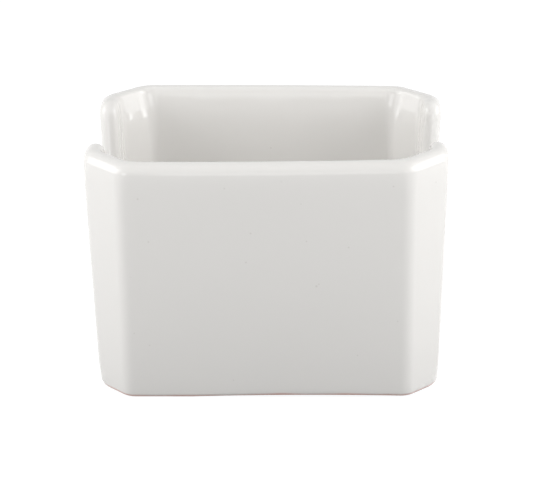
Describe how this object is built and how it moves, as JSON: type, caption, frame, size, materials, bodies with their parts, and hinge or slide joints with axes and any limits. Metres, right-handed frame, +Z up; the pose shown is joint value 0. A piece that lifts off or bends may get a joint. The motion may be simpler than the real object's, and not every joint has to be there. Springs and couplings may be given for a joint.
{
  "type": "sugar packet holder",
  "caption": "Open glazed porcelain box with chamfered corners, a rounded rim and a U-shaped finger notch in each short wall, for upright sugar packets.",
  "frame": {"origin": "middle of the foot ring's face, on the table", "axes": "+Z up, +X along the long walls, -Y towards the long wall that faces the viewer"},
  "size_m": [0.1016, 0.075, 0.0715],
  "materials": {
    "bare_porcelain": "matte, unglazed and slightly pinkish",
    "white_glaze": "gloss, white",
    "base_glaze": "gloss, white, slightly thinner"
  },
  "bodies": {
    "root": {"porcelain_body": "bare_porcelain", "glaze_coat": "white_glaze", "base_glaze": "base_glaze"}
  },
  "joints": []
}
